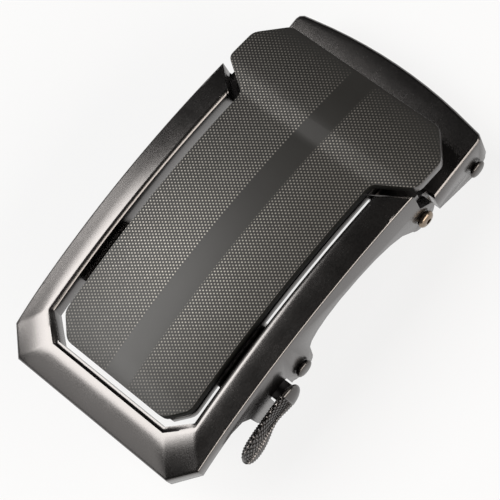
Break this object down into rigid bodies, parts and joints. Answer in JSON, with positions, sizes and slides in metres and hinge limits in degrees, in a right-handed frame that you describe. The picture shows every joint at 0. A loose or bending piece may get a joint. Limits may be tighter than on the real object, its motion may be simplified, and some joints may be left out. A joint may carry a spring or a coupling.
{
  "type": "belt buckle",
  "caption": "Ratchet belt buckle: arched faceted frame with a dark dotted panel, sprung pawl with a knurled side release lever, and a hinged strap clamp with a toothed jaw.",
  "frame": {"origin": "under the middle of the part, on the surface it lies on", "axes": "+X from the closed end of the frame to the strap clamp, +Y across the strap away from the release lever, +Z out of the face"},
  "size_m": [0.0764, 0.0442, 0.023],
  "materials": {
    "gunmetal": "dark plated die casting, satin, fine blasted grain",
    "panel_black": "black plated panel with a fine grid of light dots and a plain stripe",
    "dark_steel": "dark plated rivets, half gloss",
    "plain_steel": "plated pressed steel, satin",
    "spring_steel": "drawn spring wire",
    "aged_brass": "darkened brass-coloured screws with a hex socket"
  },
  "bodies": {
    "root": {"frame": "gunmetal", "face_panel": "panel_black", "panel_base": "gunmetal", "panel_screw_1": "gunmetal", "panel_screw_2": "gunmetal", "panel_screw_3": "gunmetal", "panel_screw_4": "gunmetal", "pawl_pin": "dark_steel", "hinge_screw_left": "aged_brass", "hinge_screw_right": "aged_brass", "pawl_spring_left": "spring_steel", "pawl_spring_right": "spring_steel"},
    "pawl": {"pawl": "plain_steel", "release_lever": "gunmetal", "lever_rivet_1": "dark_steel", "lever_rivet_2": "dark_steel"},
    "clamp": {"clamp_body": "gunmetal", "jaw_pin": "dark_steel"},
    "jaw": {"jaw": "plain_steel"}
  },
  "joints": [
    {"name": "pawl_hinge", "type": "hinge", "parent": "root", "child": "pawl", "pos_m": [-0.0111, 0.00093, 0.01085], "axis": [0, -1, 0], "range_deg": [0, 18], "stiffness_Nm_per_rad": 0.08, "springref_deg": -22.92, "deforming": ["pawl_spring_left", "pawl_spring_right"]},
    {"name": "clamp_hinge", "type": "hinge", "parent": "root", "child": "clamp", "pos_m": [0.0198, 0.00093, 0.00925], "axis": [0, 1, 0], "range_deg": [-20, 30]},
    {"name": "jaw_hinge", "type": "hinge", "parent": "clamp", "child": "jaw", "pos_m": [0.0325, 0.00093, 0.0025], "axis": [0, -1, 0], "range_deg": [-18, 95]}
  ]
}
